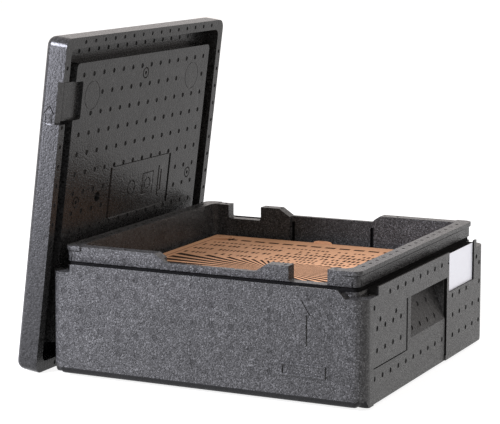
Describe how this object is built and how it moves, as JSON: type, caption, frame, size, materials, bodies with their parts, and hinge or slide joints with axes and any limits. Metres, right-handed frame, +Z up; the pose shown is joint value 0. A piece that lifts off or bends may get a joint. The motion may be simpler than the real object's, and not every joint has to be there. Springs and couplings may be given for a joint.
{
  "type": "insulated food carrier",
  "caption": "Square, shallow box of black bead foam with a loose lid leaning on its left side, a white card in the grip side and closed pizza cartons inside.",
  "frame": {"origin": "on the floor, under the middle of the box, on the underside of its stacking base", "axes": "+X to the right along the front of the box, +Y towards its back, +Z up; the lid leans against the side at -X"},
  "size_m": [0.457, 0.4178, 0.4119],
  "materials": {
    "black_bead_foam": "moulded bead foam, satin sparkle",
    "white_card": "satin",
    "brown_board": "uncoated corrugated board"
  },
  "bodies": {
    "box": {"box_body": "black_bead_foam"},
    "leaning_lid": {"lid": "black_bead_foam"},
    "card": {"id_card": "white_card"},
    "lower_carton": {"lower_carton_tray": "brown_board", "lower_carton_lid": "brown_board"},
    "upper_carton": {"upper_carton_tray": "brown_board"},
    "upper_carton_top": {"upper_carton_lid": "brown_board"}
  },
  "joints": [
    {"name": "lid_tilt", "type": "hinge", "parent": "box", "child": "leaning_lid", "pos_m": [-0.24289, -0.0065, 0.00955], "axis": [0, -1, 0], "range_deg": [0, 97]},
    {"name": "card_slide", "type": "slide", "parent": "box", "child": "card", "axis": [0, 0, 1], "range_m": [0, 0.06]},
    {"name": "lower_carton_lift", "type": "slide", "parent": "box", "child": "lower_carton", "axis": [0, 0, 1], "range_m": [0, 0.13]},
    {"name": "upper_carton_lift", "type": "slide", "parent": "lower_carton", "child": "upper_carton", "axis": [0, 0, 1], "range_m": [0, 0.1]},
    {"name": "upper_carton_opening", "type": "hinge", "parent": "upper_carton", "child": "upper_carton_top", "pos_m": [0, 0.165, 0.11615], "axis": [-1, 0, 0], "range_deg": [0, 90]}
  ]
}
